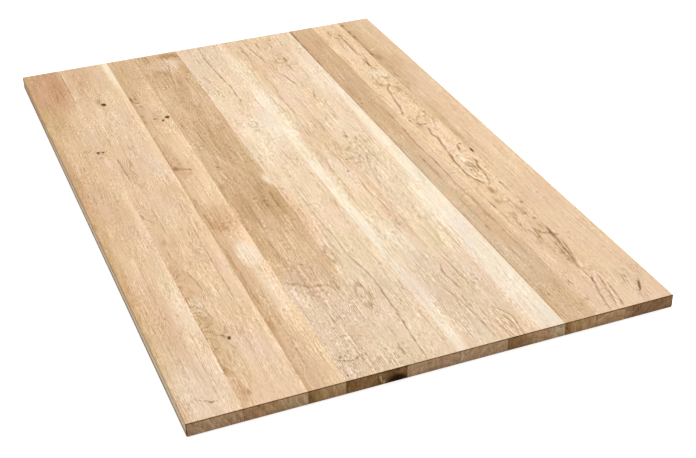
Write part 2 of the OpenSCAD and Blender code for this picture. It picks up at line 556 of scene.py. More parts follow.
stave_6 = Stave(LIGHT_TAN, TAN, 130, 60, END_GREY, ring=2.6, line=0.22, drift=0.2, steady=0.5)
stave_6.hills = [Hill(85, 700, 40, 90, 7)]
stave_6.marks = [
    Patch(30, 1100, 30, 260, 0.9, CREAM, core=0.4),
    Patch(56, 620, 34, 220, 0.9, CREAM, core=0.3),
    Patch(34, 400, 34, 160, 0.8, CREAM, core=0.3),
    Patch(72, 1050, 30, 190, 0.75, CREAM, core=0.2),
    Patch(56, 170, 54, 300, 0.85, COOL_SAND, core=0.3),
    Patch(48, 370, 42, 110, 0.4, COOL_CREAM),
    Patch(4, 760, 32, 900, 0.8, PALE, core=0.3, through=True),
    Patch(12, 960, 23, 240, 1, SAPWOOD, core=0.3, through=True),
    Patch(8, 560, 21, 330, 1, SAPWOOD, core=0.3, through=True),
    Patch(6, 180, 24, 380, 0.85, COOL_CREAM, core=0.35, through=True),
    Patch(62, 130, 42, 150, 0.4, BROWN_TAN),
    Patch(16, 1290, 16, 170, 0.5, PALE),
    Vein([(46, 1200), (54, 1250), (58, 1290), (57, 1325), (58, 1358)], 3.8, 0.75, halo=-5),
    Vein([(47, 828), (49, 875), (53, 930), (56, 990), (54, 1050), (61, 1100), (59, 1140),
          (56, 1178)], 3.8, 0.65, halo=-5),
    Vein([(86, 1232), (85, 1270), (80, 1310), (78, 1350), (75, 1400)], 3.8, 0.7, halo=-5),
    Spots([(57, 1326), (85, 1270)], 3.4, 10, 0.65, SEPIA),
    Patch(43, 1315, 6, 28, 0.4, BROWN),
    Patch(48, 1220, 13, 24, 0.4, BROWN),
    Patch(54, 1180, 19, 220, 0.5, TAN, core=0.2),
    Patch(44, 920, 34, 100, 0.6, CREAM),
    Spots([(21, 970), (11, 355)], 4, 5, 0.5),
    Patch(83, 855, 10, 30, 0.2),
    Spots([(81, 702), (64, 652)], 3.6, 4.4, 0.95, SEPIA, core=0.3),
    Patch(37, 710, 6, 30, 0.3),
    Vein([(36, 608), (36, 650), (35, 692)], 3.4, 0.5),
    Vein([(52, 568), (55, 610), (57, 652)], 4.6, 0.8, PALE),
    Vein([(77, 468), (75, 520), (71, 550), (73, 622)], 3.4, 0.6, halo=4.5),
    Spots([(52, 395), (74, 417), (33, 390)], 4.2, 3.6, 0.7, SEPIA),
    Patch(65, 342, 10, 52, 0.6, PALE),
    Vein([(87, 168), (81, 200), (80, 232), (82, 245), (89, 262)], 5, 0.75),
    Patch(79.5, 234, 3.4, 9, 0.5, SEPIA),
    Vein([(75, 8), (71, 100), (68, 140), (57, 188)], 3.6, 0.6, halo=-5),
    Patch(53, 32, 6, 9, 0.3),
]
stave_6.end_marks = [
    EndPatch(5, 15, 2.8, 14, 0.9, PALE, turn=-16),
    EndPatch(14, 12, 2.4, 12, 0.6, PALE, turn=-40),
    EndPatch(10, 17, 2.4, 11, 0.7, END_DEEP, turn=28),
]

stave_7 = Stave(CREAM, LIGHT_TAN, 40, 45, END_TAN, ring=2.6, tilt=1, line=0.28, drift=0.2, steady=0.6)
stave_7.hills = [Hill(28, 1235, 34, 70, 7), Hill(22, 700, 42, 90, 8)]
stave_7.marks = [
    Patch(36, 1350, 82, 260, 0.9, LIGHT_TAN, core=0.3),
    Patch(26, 980, 36, 170, 0.35, PEACH, core=0.2),
    Patch(26, 760, 30, 100, 0.5, LIGHT_TAN, core=0.2),
    Patch(60, 740, 26, 90, 0.3, GREY_TAN),
    Patch(24, 130, 46, 300, 0.9, DUSTY, core=0.3),
    Patch(20, 20, 40, 120, 0.6, TAN),
    Patch(90, 1130, 30, 210, 0.7, PALE, core=0.2),
    Patch(114, 900, 30, 300, 1, SAPWOOD, core=0.5, through=True),
    Patch(110, 660, 36, 330, 1, SAPWOOD, core=0.5, through=True),
    Patch(86, 470, 42, 230, 0.95, SAPWOOD, core=0.4, through=True),
    Patch(96, 160, 46, 330, 1, COOL_CREAM, core=0.6, through=True),
    straight(110, 0, 1400, 9, 0.8, COOL_CREAM, through=True),
    Vein([(8, 1318), (10, 1350), (15, 1368), (22, 1376)], 4.2, 0.7),
    Patch(45, 1366, 10, 6, 0.6),
    Vein([(36, 1310), (40, 1335), (37, 1362)], 4.2, 0.75),
    Vein([(37, 1362), (43, 1375), (53, 1363)], 4, 0.6, over=True),
    Patch(28, 1290, 24, 20, 0.5, CREAM),
    Patch(21, 1269, 4, 4, 0.9, PALE),
    Spots([(9, 1250), (19, 1228), (25, 1328), (35, 1254), (47, 1247), (37, 1202)], 5, 5, 0.55),
    Vein([(16, 1230), (10, 1248)], 3.4, 0.5),
    Loop(32, 1235, 12, 13, 0.45, thick=0.5),
    Vein([(41, 1158), (42, 1208)], 3.4, 0.75, halo=5.5),
    Vein([(23, 1090), (18, 1110), (15, 1132), (12, 1150), (6, 1170)], 4, 0.8, SEPIA, halo=-5),
    Spots([(5, 1035), (12, 1023), (22, 1005), (15, 988), (30, 987)], 3.6, 4, 0.6),
    Vein([(32, 998), (40, 1025), (51, 1057)], 3.4, 0.5),
    Vein([(31, 943), (42, 962), (59, 1007)], 3.4, 0.5),
    straight(49, 918, 962, 3, 0.5),
    Patch(43, 905, 9, 28, 0.35),
    Vein([(16, 888), (37, 932)], 3.2, 0.45),
    Patch(19, 873, 3.6, 4, 0.65),
    Vein([(29, 786), (31, 828)], 4.2, 0.95, SEPIA),
    Patch(26, 806, 5, 6, 0.6),
    Vein([(43, 773), (47, 797)], 3.8, 0.7, SEPIA),
    Vein([(36, 760), (40, 790)], 3.4, 0.6),
    Patch(60, 768, 24, 24, 0.2),
    Vein([(9, 734), (14, 748), (19, 762)], 6, 0.5),
    Spots([(7, 680), (20, 722), (6, 742), (25, 768)], 4.6, 6.5, 0.5),
    Vein([(14, 693), (20, 702), (25, 714)], 5, 0.5),
    Vein([(27, 730), (31, 752)], 4, 0.6),
    straight(38, 718, 752, 3.4, 0.6),
    Vein([(27, 676), (34, 695), (41, 712)], 4, 0.7, SEPIA),
    Vein([(9, 668), (17, 684)], 4, 0.6),
    Vein([(9, 558), (12, 575), (17, 612)], 3.4, 0.6),
    Vein([(55, 500), (57, 632)], 2.6, 0.35),
    Vein([(20, 338), (22, 482)], 2.6, 0.3),
    Vein([(34, 338), (35, 472)], 2.6, 0.35, halo=8),
    Vein([(15, 138), (12, 250), (9, 283)], 3.8, 0.6),
    Spots([(2, 215), (24, 175)], 4.4, 6, 0.6),
    Patch(40, 145, 20, 40, 0.6, TAN),
    Vein([(32, 2), (35, 25), (38, 50), (34, 72), (24, 88), (12, 100)], 3.2, 0.75, halo=-4),
    Vein([(26, 2), (28, 22), (29, 42), (25, 60), (16, 74), (6, 82)], 3, 0.75, halo=-4),
    Vein([(20, 2), (21, 20), (20, 36), (14, 50), (5, 58)], 3, 0.7, halo=-4),
    Vein([(13, 2), (13, 14), (10, 26), (3, 34)], 3, 0.6),
]
stave_7.end_marks = [
    EndPatch(10, 13, 52, 60, 0.75, END_DEEP, core=0.2),
    EndPatch(106, 13, 30, 60, 0.85, END_PALE, core=0.2),
]

stave_8 = Stave(BROWN_TAN, OLIVE, -90, 40, END_BROWN, ring=3.2, band=0.4)
stave_8.marks = [
    Patch(14, 480, 22, 420, 0.9, GREY_TAN, core=0.4),
    Patch(34, 150, 50, 300, 0.6, GREY_TAN, core=0.3),
    Patch(16, 1000, 12, 120, 0.6, OLIVE, turn=-4),
    straight(1, 0, 1400, 3.4, 0.5, through=True),
    Vein([(3, 1160), (3.5, 1280), (4, 1400)], 5, 0.6, SEPIA),
    Patch(7, 1095, 6, 40, 0.25),
    Patch(37, 520, 14, 320, 0.7, LIGHT_TAN),
    Vein([(19, 1028), (21, 1060), (25, 1100), (29, 1152)], 3.6, 0.8, LIGHT_TAN),
    Patch(62, 640, 30, 460, 0.95, LIGHT_TAN, core=0.35),
    Spots([(17, 960), (12, 937), (15, 867)], 4, 6.5, 0.6, SEPIA),
    Vein([(44, 458), (45, 555), (46, 620), (42, 710), (46, 800), (44, 920)], 3.8, 0.7),
    Spots([(45, 556), (46, 614)], 3, 8, 0.7, SEPIA),
    Vein([(26, 538), (26, 600), (26, 662)], 3.6, 0.6),
    Patch(26, 631, 2.8, 9, 0.9, SEPIA),
    Spots([(17, 767), (34, 765), (9, 712), (32, 180), (35, 43)], 5, 6, 0.55),
    Vein([(28.5, 733), (29, 762)], 3, 0.7, HONEY),
    straight(24, 318, 472, 3.8, 0.6),
    straight(47, 218, 472, 4.6, 0.55),
    Spots([(17, 90), (56, 40), (23, 340)], 3.4, 10, 0.5, SEPIA),
    Patch(10, 120, 9, 110, 0.2, BROWN),
    Patch(44, 90, 9, 100, 0.4, BROWN),
]
stave_8.end_marks = [EndPatch(4, 13, 16, 60, 0.7, END_DEEP)]

stave_9 = Stave(HONEY, LIGHT_TAN, 40, 90, END_TAN, ring=3.4, line=0.45, arch=0.3, steady=0.6, tilt=1.2,
                wander=8)
stave_9.hills = [
    Hill(42, 1220, 26, 130, 6),
    Hill(44, 1000, 30, 80, 7),
    Hill(50, 800, 30, 80, 8),
    Hill(38, 575, 26, 100, 10),
    Hill(52, 200, 28, 140, 7),
]
stave_9.marks = [
    Patch(64, 940, 18, 190, 0.6, BROWN_TAN, core=0.2),
    Patch(36, 150, 90, 390, 0.9, PINK_TAN, core=0.4),
    Patch(38, 1310, 38, 120, 0.65, TAN),
    Patch(22, 1020, 26, 90, 0.6, TAN),
    Patch(24, 790, 18, 90, 0.6, BROWN_TAN),
    Patch(50, 240, 24, 160, 0.6, TAN),
    Vein([(47, 1332), (49, 1298)], 3.8, 0.75, SEPIA),
    Vein([(46, 1186), (45, 1220), (46, 1260), (48, 1294)], 4.8, 0.9, halo=-6),
    Vein([(47, 1106), (46, 1135), (45, 1165)], 5.4, 0.8, SEPIA, halo=-6),
    Vein([(54, 1092), (49, 1112)], 4.2, 0.7, SEPIA),
    Vein([(64, 1106), (56, 1124)], 3.8, 0.7),
    Vein([(26, 1316), (28, 1345), (30, 1364)], 3.6, 0.8),
    Vein([(27, 1226), (35, 1314)], 3.2, 0.5),
    Patch(47, 1070, 28, 34, 0.85, PALE, core=0.2),
    Spots([(21, 1016), (30, 1012), (47, 1005), (54, 988), (67, 1005)], 4.4, 8, 0.8),
    Vein([(21, 1006), (36, 1003), (49, 1000)], 7, 0.65, SEPIA, over=True),
    Vein([(27, 928), (29, 960), (32, 980), (44, 1002)], 4.8, 0.7, SEPIA, halo=7),
    Patch(57, 970, 11, 24, 0.6, BROWN),
    Vein([(8, 838), (14, 860), (19, 880), (21, 900), (24, 920), (26, 940)], 4.6, 0.8, SEPIA, halo=-7),
    Spots([(17, 830), (12, 811)], 5, 7, 0.7, SEPIA),
    Vein([(17, 797), (29, 786), (41, 781)], 7.5, 0.8, SEPIA, over=True),
    Vein([(25, 648), (29, 680), (33, 700), (35, 712), (29, 735), (32, 750),
          (36, 774)], 5, 0.75, SEPIA, halo=8),
    Patch(58, 775, 20, 44, 0.35, PALE),
    Vein([(34, 486), (31, 500), (25, 515), (20, 530), (19, 570), (20, 600),
          (27, 652)], 4.8, 0.9, SEPIA, halo=7),
    Vein([(52, 638), (54, 655), (57, 667)], 5.4, 0.85, SEPIA),
    Vein([(55, 663), (62, 669), (73, 658)], 5.6, 0.8, SEPIA, over=True),
    Patch(60, 635, 5, 4, 0.6, SEPIA),
    Vein([(40, 486), (47, 495), (50, 510), (54, 525), (55, 550), (57, 570), (62, 585),
          (60, 607)], 4.8, 0.85, SEPIA, halo=-6),
    Patch(43, 610, 13, 48, 0.9, SAPWOOD),
    Patch(35, 555, 4.4, 9, 0.7, SEPIA),
    Patch(33, 577, 3.6, 9, 0.5),
    Patch(34, 462, 10, 27, 0.8),
    straight(9, 393, 427, 5.2, 0.9, SEPIA),
    Patch(27, 415, 16, 17, 0.4),
    Patch(52, 372, 21, 36, 0.35),
    Spots([(67, 397), (52, 355), (60, 333)], 6, 9, 0.75, SEPIA),
    Patch(66, 266, 10, 18, 0.5),
    Patch(70, 262, 4.6, 7, 1, SEPIA, core=0.3),
    Patch(26, 248, 11, 14, 0.35),
    Patch(47, 200, 7, 12, 0.6),
    Vein([(46, 138), (52, 165), (57, 200), (62, 250), (65, 300)], 6, 0.8, SEPIA, halo=8),
    Vein([(44, 158), (50, 200), (52, 250)], 3.6, 0.8),
    Vein([(60, 180), (66, 220), (70, 250)], 4.4, 0.8),
    Vein([(30, 2), (38, 50), (48, 90), (58, 120)], 3.6, 0.6, SEPIA, halo=5),
    Vein([(44, 2), (54, 40), (62, 80), (68, 112)], 3.6, 0.8, halo=5),
    Vein([(57, 2), (65, 45), (71, 90)], 4, 0.6, SEPIA),
    Spots([(9, 50), (7, 110)], 4.4, 11, 0.8),
]
stave_9.end_marks = [EndPatch(70, 13, 14, 60, 0.5, END_DEEP), EndPatch(60, 18, 4, 7, 0.6, END_DARK)]

stave_10 = Stave(LIGHT_TAN, TAN, 150, 80, END_RED, ring=2.8, line=0.2, grain=0.62, drift=0.3, band=0.35)
stave_10.hills = [Hill(36, 88, 20, 40, 4)]
stave_10.knots = [
    Knot(3, 633, 2, 9, depth=1, rim=1.7, lift=3),
    Knot(45, 51, 2.2, 20, turn=-26.5, depth=1, dark=0.58, rim=2, lift=5),
]
stave_10.marks = [
    Patch(50, 700, 60, 340, 0.3, HONEY, core=0.2),
    Patch(44, 300, 60, 240, 0.5, PINK_TAN),
    Patch(20, 40, 70, 160, 0.5, DUSTY),
    Patch(10, 1230, 46, 420, 0.9, BROWN_TAN, core=0.3),
    Patch(52, 1380, 50, 240, 0.7, TAN),
    Patch(34, 1140, 34, 90, 0.7, SALMON),
    Patch(50, 1090, 60, 180, 0.5, BROWN_TAN),
    Patch(4, 760, 20, 200, 0.6, BROWN_TAN),
    Patch(8, 1180, 22, 320, 0.5, OLIVE),
    Patch(20, 640, 26, 110, 0.45, BROWN_TAN),
    Patch(18, 990, 30, 60, 0.6, BROWN_TAN),
    Vein([(5, 1160), (5, 1240), (5, 1320), (4, 1395)], 7, 0.7),
    Spots([(4, 1376), (6, 1330), (6, 1297), (4, 1182)], 5.6, 10, 0.7, SEPIA, core=0.2),
    Patch(12, 1158, 15, 30, 0.5),
    Patch(19, 1206, 8, 5, 0.9, PALE),
    Patch(14, 1092, 13, 24, 0.45, BROWN),
    Vein([(11, 1028), (10, 1064)], 5, 0.7, SEPIA),
    Spots([(18, 990), (5, 998), (8, 975)], 4.6, 18, 0.6),
    Patch(12, 830, 14, 150, 0.35, BROWN),
    Patch(8, 715, 11, 46, 0.5, BROWN),
    Patch(26, 870, 22, 90, 0.4, BROWN_TAN),
    Spots([(29, 505), (41, 420)], 3.4, 4.4, 0.7, SEPIA),
    Spots([(22, 259), (22, 68), (59, 910)], 7, 5, 0.4),
    Patch(37, 87, 6, 8, 0.75),
]

STAVES = [stave_1, stave_2, stave_3, stave_4, stave_5, stave_6, stave_7, stave_8, stave_9, stave_10]


class Nodes:
    """Writes a material's nodes as plain calls. An input is a number, a tuple or another node's output."""

    def __init__(self, tree):
        self.tree = tree

    def add(self, kind, **settings):
        node = self.tree.nodes.new(kind)
        for name, value in settings.items():
            setattr(node, name, value)
        return node

    def feed(self, socket, value):
        if isinstance(value, bpy.types.NodeSocket):
            self.tree.links.new(value, socket)
        else:
            socket.default_value = value

    def math(self, operation, a, b=0, c=0):
        node = self.add("ShaderNodeMath", operation=operation)
        for socket, value in zip(node.inputs, (a, b, c)):
            self.feed(socket, value)
        return node.outputs[0]

    def times(self, a, b):
        return self.math("MULTIPLY", a, b)

    def vector(self, operation, a, b=(0, 0, 0), c=(0, 0, 0)):
        node = self.add("ShaderNodeVectorMath", operation=operation)
        for socket, value in zip(node.inputs, (a, b, c)):
            self.feed(socket, value)
        return node.outputs["Value" if operation == "LENGTH" else "Vector"]

    def noise(self, place, size, detail=2, rough=0.5, output="Fac"):
        """Noise whose grains are about size in mm, one size for each axis."""
        node = self.add("ShaderNodeTexNoise")
        self.feed(node.inputs["Vector"], self.vector("DIVIDE", place, size))
        self.feed(node.inputs["Scale"], 1)
        self.feed(node.inputs["Detail"], detail)
        self.feed(node.inputs["Roughness"], rough)
        return node.outputs[output]

    def chance(self, value):
        """A number between 0 and 1 that jumps whenever the value does."""
        node = self.add("ShaderNodeTexWhiteNoise", noise_dimensions="1D")
        self.feed(node.inputs["W"], value)
        return node.outputs["Value"]

    def drift(self, place, size, amount):
        """A random shift by up to about half the amount, in mm for each axis."""
        centred = self.vector("SUBTRACT", self.noise(place, size, output="Color"), (0.5, 0.5, 0.5))
        return self.vector("MULTIPLY", centred, amount)

    def fade(self, value, start, end, low=0, high=1):
        """A smooth change from low, at start, to high, at end."""
        node = self.add("ShaderNodeMapRange", interpolation_type="SMOOTHSTEP")
        for socket, given in zip(node.inputs, (value, start, end, low, high)):
            self.feed(socket, given)
        return node.outputs["Result"]

    def mix(self, share, a, b):
        node = self.add("ShaderNodeMix", data_type="RGBA")
        for index, value in ((0, share), (6, a), (7, b)):
            self.feed(node.inputs[index], value)
        return node.outputs[2]

    def shade(self, colour, light):
        """The colour lit by a number. Wood that is darker is also redder, as light goes deeper into it."""
        light = self.math("MAXIMUM", light, DARKEST)
        return self.vector("MULTIPLY", colour, self.vector("POWER", light, REDDENING))

    def waver(self, base, *parts):
        """The base plus each noise, centred on zero, times its weight."""
        total = self.math("SUBTRACT", base, sum(weight for _, weight in parts) / 2)
        for noise, weight in parts:
            total = self.math("MULTIPLY_ADD", noise, weight, total)
        return total

    def curve(self, value, path):
        """A smooth curve through a path of places, each a value and what it gives."""
        node = self.add("ShaderNodeFloatCurve")
        node.mapping.use_clip = False
        node.mapping.extend = "HORIZONTAL"
        points = node.mapping.curves[0].points
        path = sorted(path)
        points[0].location = path[0]
        points[1].location = path[-1]
        for along, across in path[1:-1]:
            points.new(along, across)
        node.mapping.update()
        self.feed(node.inputs["Value"], value)
        return node.outputs[0]

    def ellipsoid(self, place, centre, sizes, rotation):
        """How far a place lies from a centre, counted in half sizes of an ellipsoid."""
        node = self.add("ShaderNodeMapping", vector_type="TEXTURE")
        self.feed(node.inputs["Vector"], place)
        node.inputs["Location"].default_value = centre
        node.inputs["Rotation"].default_value = rotation
        node.inputs["Scale"].default_value = sizes
        return self.vector("LENGTH", node.outputs[0])

    def ellipse(self, place, across, along, wide, long, turn):
        """The same for an upright cylinder through the stave, with an elliptical section."""
        if turn:
            no_height = 1e6
            centre = (across, along, 0)
            return self.ellipsoid(place, centre, (wide, long, no_height), (0, 0, math.radians(turn)))
        centre = (-across / wide, -along / long, 0)
        return self.vector("LENGTH", self.vector("MULTIPLY_ADD", place, (1 / wide, 1 / long, 0), centre))


def linear(code):
    """A colour written as six hexadecimal digits, as the shaders take it."""
    shares = [int(code[i:i + 2], 16) / 255 for i in (0, 2, 4)]
    channels = [s / 12.92 if s <= 0.04045 else ((s + 0.055) / 1.055) ** 2.4 for s in shares]
    return (*channels, 1)


class Place:
    """Where in a stave a point lies, in mm from its left face, its near end and its underside."""

    def __init__(self, n, stave, seed, left):
        coordinates = n.add("ShaderNodeTexCoord").outputs["Object"]
        offset = (-left / MM, -cad_low.y / MM, -cad_low.z / MM)
        self.true = n.vector("MULTIPLY_ADD", coordinates, (1 / MM, 1 / MM, 1 / MM), offset)
        self.seeded = n.vector("ADD", self.true, tuple(seed * step for step in SEED_STEP))
        # A little ragged for marks, and more so for the growth rings
        ragged = n.drift(self.seeded, (7, 22, 7), (5, 9, 5))
        self.fine = n.vector("ADD", self.true, ragged)
        wide = (stave.wander * 4, stave.wander * 12, stave.wander * 4)
        self.swung = n.vector("ADD", self.fine, n.drift(self.seeded, (60, 260, 60), wide))
        parts = n.add("ShaderNodeSeparateXYZ")
        n.feed(parts.inputs[0], self.fine)
        self.across, self.along, self.up = parts.outputs
        self.near_top = n.fade(self.up, MARKS_GONE, MARKS_FULL)
        # How a mark swells, and where it breaks up
        spread = n.noise(self.seeded, (4, 24, 4), 1)
        self.swell = n.fade(n.noise(self.seeded, (6, 30, 6)), 0.3, 0.7, 0.85, 1.7)
        self.broken = n.times(n.fade(spread, 0.32, 0.6, stave.steady, 1.2), self.near_top)


def growth(n, stave, place):
    """Distance from the pith in mm, with the rings bulging at each hill and knot, and how near one is."""
    node = n.add("ShaderNodeMapping", vector_type="TEXTURE")
    n.feed(node.inputs["Vector"], place.swung)
    node.inputs["Location"].default_value = (stave.pith_across, LENGTH / MM / 2, -stave.pith_below)
    node.inputs["Rotation"].default_value = (math.radians(stave.tilt), 0, math.radians(stave.lean))
    flat = n.vector("MULTIPLY", node.outputs[0], (1, 0, 1))
    radius = n.vector("LENGTH", flat)
    bulges = list(stave.hills)
    for k in stave.knots:
        bulges.append(Hill(k.across, k.along, 4 + k.wide * 3, 12 + k.long * 6, k.lift, k.turn))
    nearest = FAR_OFF
    for hill in bulges:
        away = n.ellipse(place.fine, hill.across, hill.along, hill.wide, hill.long, hill.turn)
        radius = n.math("ADD", radius, n.fade(away, 1, 0, 0, hill.lift))
        nearest = n.math("MINIMUM", away, nearest)
    return radius, n.fade(nearest, 1.1, 0.5)


def paint(n, colour, place, marks):
    for mark in marks:
        for share, code in mark.layers(n, place):
            colour = n.mix(share, colour, linear(code))
    return colour


def paint_knots(n, colour, place, knots):
    """A brown rim and a black core for each knot, as deep as the knot's hollow."""
    for knot in knots:
        away = n.ellipse(place.fine, knot.across, knot.along, knot.wide, knot.long, knot.turn)
        rim = n.fade(away, knot.rim, 0.9, 0, 0.6 * knot.dark)
        colour = n.mix(n.times(rim, place.near_top), colour, linear(UMBER))
        core = n.fade(away, 1.2, 0.6, 0, knot.dark)
        colour = n.mix(n.times(core, place.near_top), colour, linear(KNOT_BROWN))
    return colour


def end_grain(n, stave, place, ring_start, ring_chance, pore, facing):
    """The colour of the sawn ends: ring arcs, open pores, a darker joint, and painted shade where the end
    face rounds over its arrises.
    """
    mottle = n.noise(place.seeded, (3.6, 50, 14), 3, 0.7)
    patch = n.noise(place.seeded, (22, 80, 16))
    colour = n.mix(n.fade(patch, 0.35, 0.75, 0, 0.5), linear(stave.end_tone), linear(END_RED))
    colour = paint(n, colour, place, stave.end_marks)
    light = n.math("MULTIPLY_ADD", ring_start, -0.4, 1.18)
    light = n.waver(light, (mottle, 1.3), (patch, 0.6), (ring_chance, 0.4))
    light = n.math("MULTIPLY_ADD", pore, -0.15, light)
    from_joint = n.vector("LENGTH", n.vector("MULTIPLY", place.true, (1, 0, 0)))
    light = n.times(light, n.fade(from_joint, 0, 2.4, 0.6, 1))
    # Painted shade: darker where the end face turns round its arrises
    light = n.times(light, n.fade(facing, 0.8, 1, 0.4, 1))
    return n.shade(colour, light)


def tinted(n, colour, place):
    """The colour in pinker and greener zones, and in yellower and greyer ones."""
    pink = n.noise(n.vector("ADD", place.seeded, (50, 90, 30)), (44, 150, 44), 1)
    yellow = n.noise(n.vector("ADD", place.seeded, (20, 30, 90)), (50, 120, 50), 1)
    pink_tint = n.mix(n.fade(pink, 0.3, 0.7), (1, 1.025, 1.025, 1), (1, 0.98, 1, 1))
    yellow_tint = n.mix(n.fade(yellow, 0.3, 0.7), (1, 1, 1.04, 1), (1, 1, 0.975, 1))
    return n.vector("MULTIPLY", n.vector("MULTIPLY", colour, pink_tint), yellow_tint)


def grain_strength(n, stave, place, colour):
    """How much the grain shows: in smooth zones and rough ones, and less in pale sapwood."""
    zone = n.noise(n.vector("ADD", place.seeded, (70, 20, 60)), (30, 80, 30))
    rough = n.fade(zone, 0.38, 0.6, 0.5 * stave.grain, 1.25 * stave.grain)
    channels = n.add("ShaderNodeSeparateColor")
    n.feed(channels.inputs[0], colour)
    return n.times(rough, n.fade(channels.outputs[2], 0.48, 0.62, 1, 0.55))


def painted_side_light_and_shade(n, colour, place, normal):
    """The long sides of the panel, with painted light: paler below the top arris, more so towards the near
    end, and greyer at the bottom as painted shade along the lower edge.
    """
    sideways = n.vector("LENGTH", n.vector("MULTIPLY", normal, (1, 0, 0)))
    # Painted light: the sides paler from the underside up to below the top arris
    side_painted_share = n.times(n.fade(sideways, 0.2, 0.7), n.fade(place.up, 22, 15, 0, 0.8))
    side_painted_colour = n.mix(n.fade(place.along, 1250, 850), linear(BROWN_TAN), linear(SAPWOOD))
    # Painted shade: greyer along the bottom edge of the sides
    side_painted_colour = n.mix(n.fade(place.up, 5, 12), linear(SIDE_PAINTED_SHADE), side_painted_colour)
    return n.mix(side_painted_share, colour, side_painted_colour)


def oak(name, stave, seed, left):
    """The material of one stave."""
    material = bpy.data.materials.new(name)
    material.use_nodes = True
    n = Nodes(material.node_tree)
    shader = material.node_tree.nodes["Principled BSDF"]
    place = Place(n, stave, seed, left)

    # Growth rings: each starts with a dark row of pores, and no two are alike
    radius, bulge = growth(n, stave, place)
    rings = n.math("DIVIDE", radius, stave.ring)
    ring_start = n.math("POWER", n.math("SUBTRACT", 1, n.math("FRACT", rings)), 2.5)
    ring_chance = n.chance(n.math("FLOOR", rings))
    breaks = n.fade(n.noise(place.seeded, (9, 60, 9)), 0.35, 0.65)
    ring_line = n.times(n.times(ring_start, ring_chance), breaks)
    arch_chance = n.fade(ring_chance, 0, 1, 0.3, 1)
    arch_line = n.times(n.times(ring_start, bulge), arch_chance)
    cloud = n.noise(place.seeded, (34, 170, 34), 3, 0.6)
    band = n.waver(0.5, (ring_chance, 0.5), (cloud, 2.2))
    band = n.fade(band, 0.2, 0.8, 0, stave.band)
    colour = n.mix(band, linear(stave.tone), linear(stave.deep))

    colour = tinted(n, paint(n, colour, place, stave.marks), place)

    # Fibres, fine ridges along the grain and open pores
    fibre = n.noise(place.seeded, (8, 140, 8), 3, 0.6)
    ridge = n.noise(place.seeded, (1.4, 70, 1.4), 1)
    speckle = n.noise(place.seeded, (0.9, 9, 0.9), 0)
    pore = n.fade(n.noise(place.seeded, (0.5, 6, 0.5), 1), 0.58, 0.7)
    pore_row = n.times(pore, n.math("ADD", ring_start, 0.25))
    grains = n.waver(0, (fibre, 0.1), (ridge, 0.75), (speckle, 0.8))
    light = n.waver(1.02, (cloud, stave.drift))
    light = n.math("MULTIPLY_ADD", grains, grain_strength(n, stave, place, colour), light)
    light = n.math("MULTIPLY_ADD", ring_line, -stave.line, light)
    light = n.math("MULTIPLY_ADD", arch_line, -stave.arch, light)
    light = n.math("MULTIPLY_ADD", pore_row, -0.14, light)
    if stave.fleck:
        ray = n.fade(n.noise(place.seeded, (5, 9, 5), 1, 0.6), 0.5, 0.64)
        blotch = n.noise(place.seeded, (14, 30, 14), 2, 0.6)
        light = n.waver(light, (ray, 0.2 * stave.fleck), (blotch, 0.5 * stave.fleck))
    colour = n.shade(colour, light)
    colour = paint_knots(n, colour, place, stave.knots)

    # The long sides, with their painted light and shade, and the sawn ends
    normal = n.add("ShaderNodeTexCoord").outputs["Normal"]
    colour = painted_side_light_and_shade(n, colour, place, normal)
    facing = n.vector("LENGTH", n.vector("MULTIPLY", normal, (0, 1, 0)))
    end_colour = end_grain(n, stave, place, ring_start, ring_chance, pore, facing)
    colour = n.mix(n.fade(facing, 0.05, 0.3), colour, end_colour)

    n.feed(shader.inputs["Base Color"], colour)
    shader.inputs["Roughness"].default_value = ROUGHNESS
    shader.inputs["Specular IOR Level"].default_value = SPECULAR
    height = n.math("MULTIPLY_ADD", pore_row, -0.8, n.times(fibre, 0.5))
    bump = n.add("ShaderNodeBump")
    bump.inputs["Strength"].default_value = RELIEF_SHARE
    bump.inputs["Distance"].default_value = RELIEF
    n.feed(bump.inputs["Height"], height)
    n.feed(shader.inputs["Normal"], bump.outputs[0])
    return material


def spaced(low, high, step):
    return np.linspace(low, high, max(2, round((high - low) / step) + 1))


def arris_lines(low, high, round_low, round_high):
    """Grid lines near two rounded edges, at even turns round each arris."""
    turns = np.radians([0, 11.25, 22.5, 33.75, 45])
    steps = ARRIS - ARRIS * np.tan(turns)
    lines = [low, high]
    if round_low:
        lines += list(low + steps) + [low + CORNER, low + 2 * ARRIS]
    if round_high:
        lines += list(high - steps) + [high - CORNER, high - 2 * ARRIS]
    return lines


def thinned(lines):
    """The lines in order, without any that lie on another."""
    ordered = np.sort(np.array(lines))
    keep = np.concatenate([[True], np.diff(ordered) > TOUCHING])
    return ordered[keep]


def grid_lines(low, high, step, rounded, fine):
    lines = arris_lines(low, high, *rounded) + list(spaced(low, high, step))
    inset = 2 * ARRIS
    for centre, half, fine_step in fine:
        start = max(centre - half, low + inset)
        end = min(centre + half, high - inset)
        if end > start:
            lines += list(spaced(start, end, fine_step))
    return thinned(lines)


def box_shell(xs, ys, zs):
    """Points and quads of the outside of a box that is cut along these lines."""
    counts = (len(xs), len(ys), len(zs))
    quads = []
    for axis in range(3):
        u, v = [(1, 2), (2, 0), (0, 1)][axis]
        for end in (0, counts[axis] - 1):
            i, j = np.meshgrid(np.arange(counts[u] - 1), np.arange(counts[v] - 1), indexing="ij")
            corners = []
            for du, dv in ((0, 0), (1, 0), (1, 1), (0, 1)):
                index = np.zeros((i.size, 3), int)
                index[:, axis] = end
                index[:, u] = i.ravel() + du
                index[:, v] = j.ravel() + dv
                corners.append(index)
            if end == 0:
                corners.reverse()
            quads.append(np.stack(corners, 1))
    corner_index = np.concatenate(quads).reshape(-1, 3)
    keys = (corner_index[:, 0] * counts[1] + corner_index[:, 1]) * counts[2] + corner_index[:, 2]
    _, first, faces = np.unique(keys, return_index=True, return_inverse=True)
    used = corner_index[first]
    points = np.stack([xs[used[:, 0]], ys[used[:, 1]], zs[used[:, 2]]], 1)
    return points, faces.reshape(-1, 4)


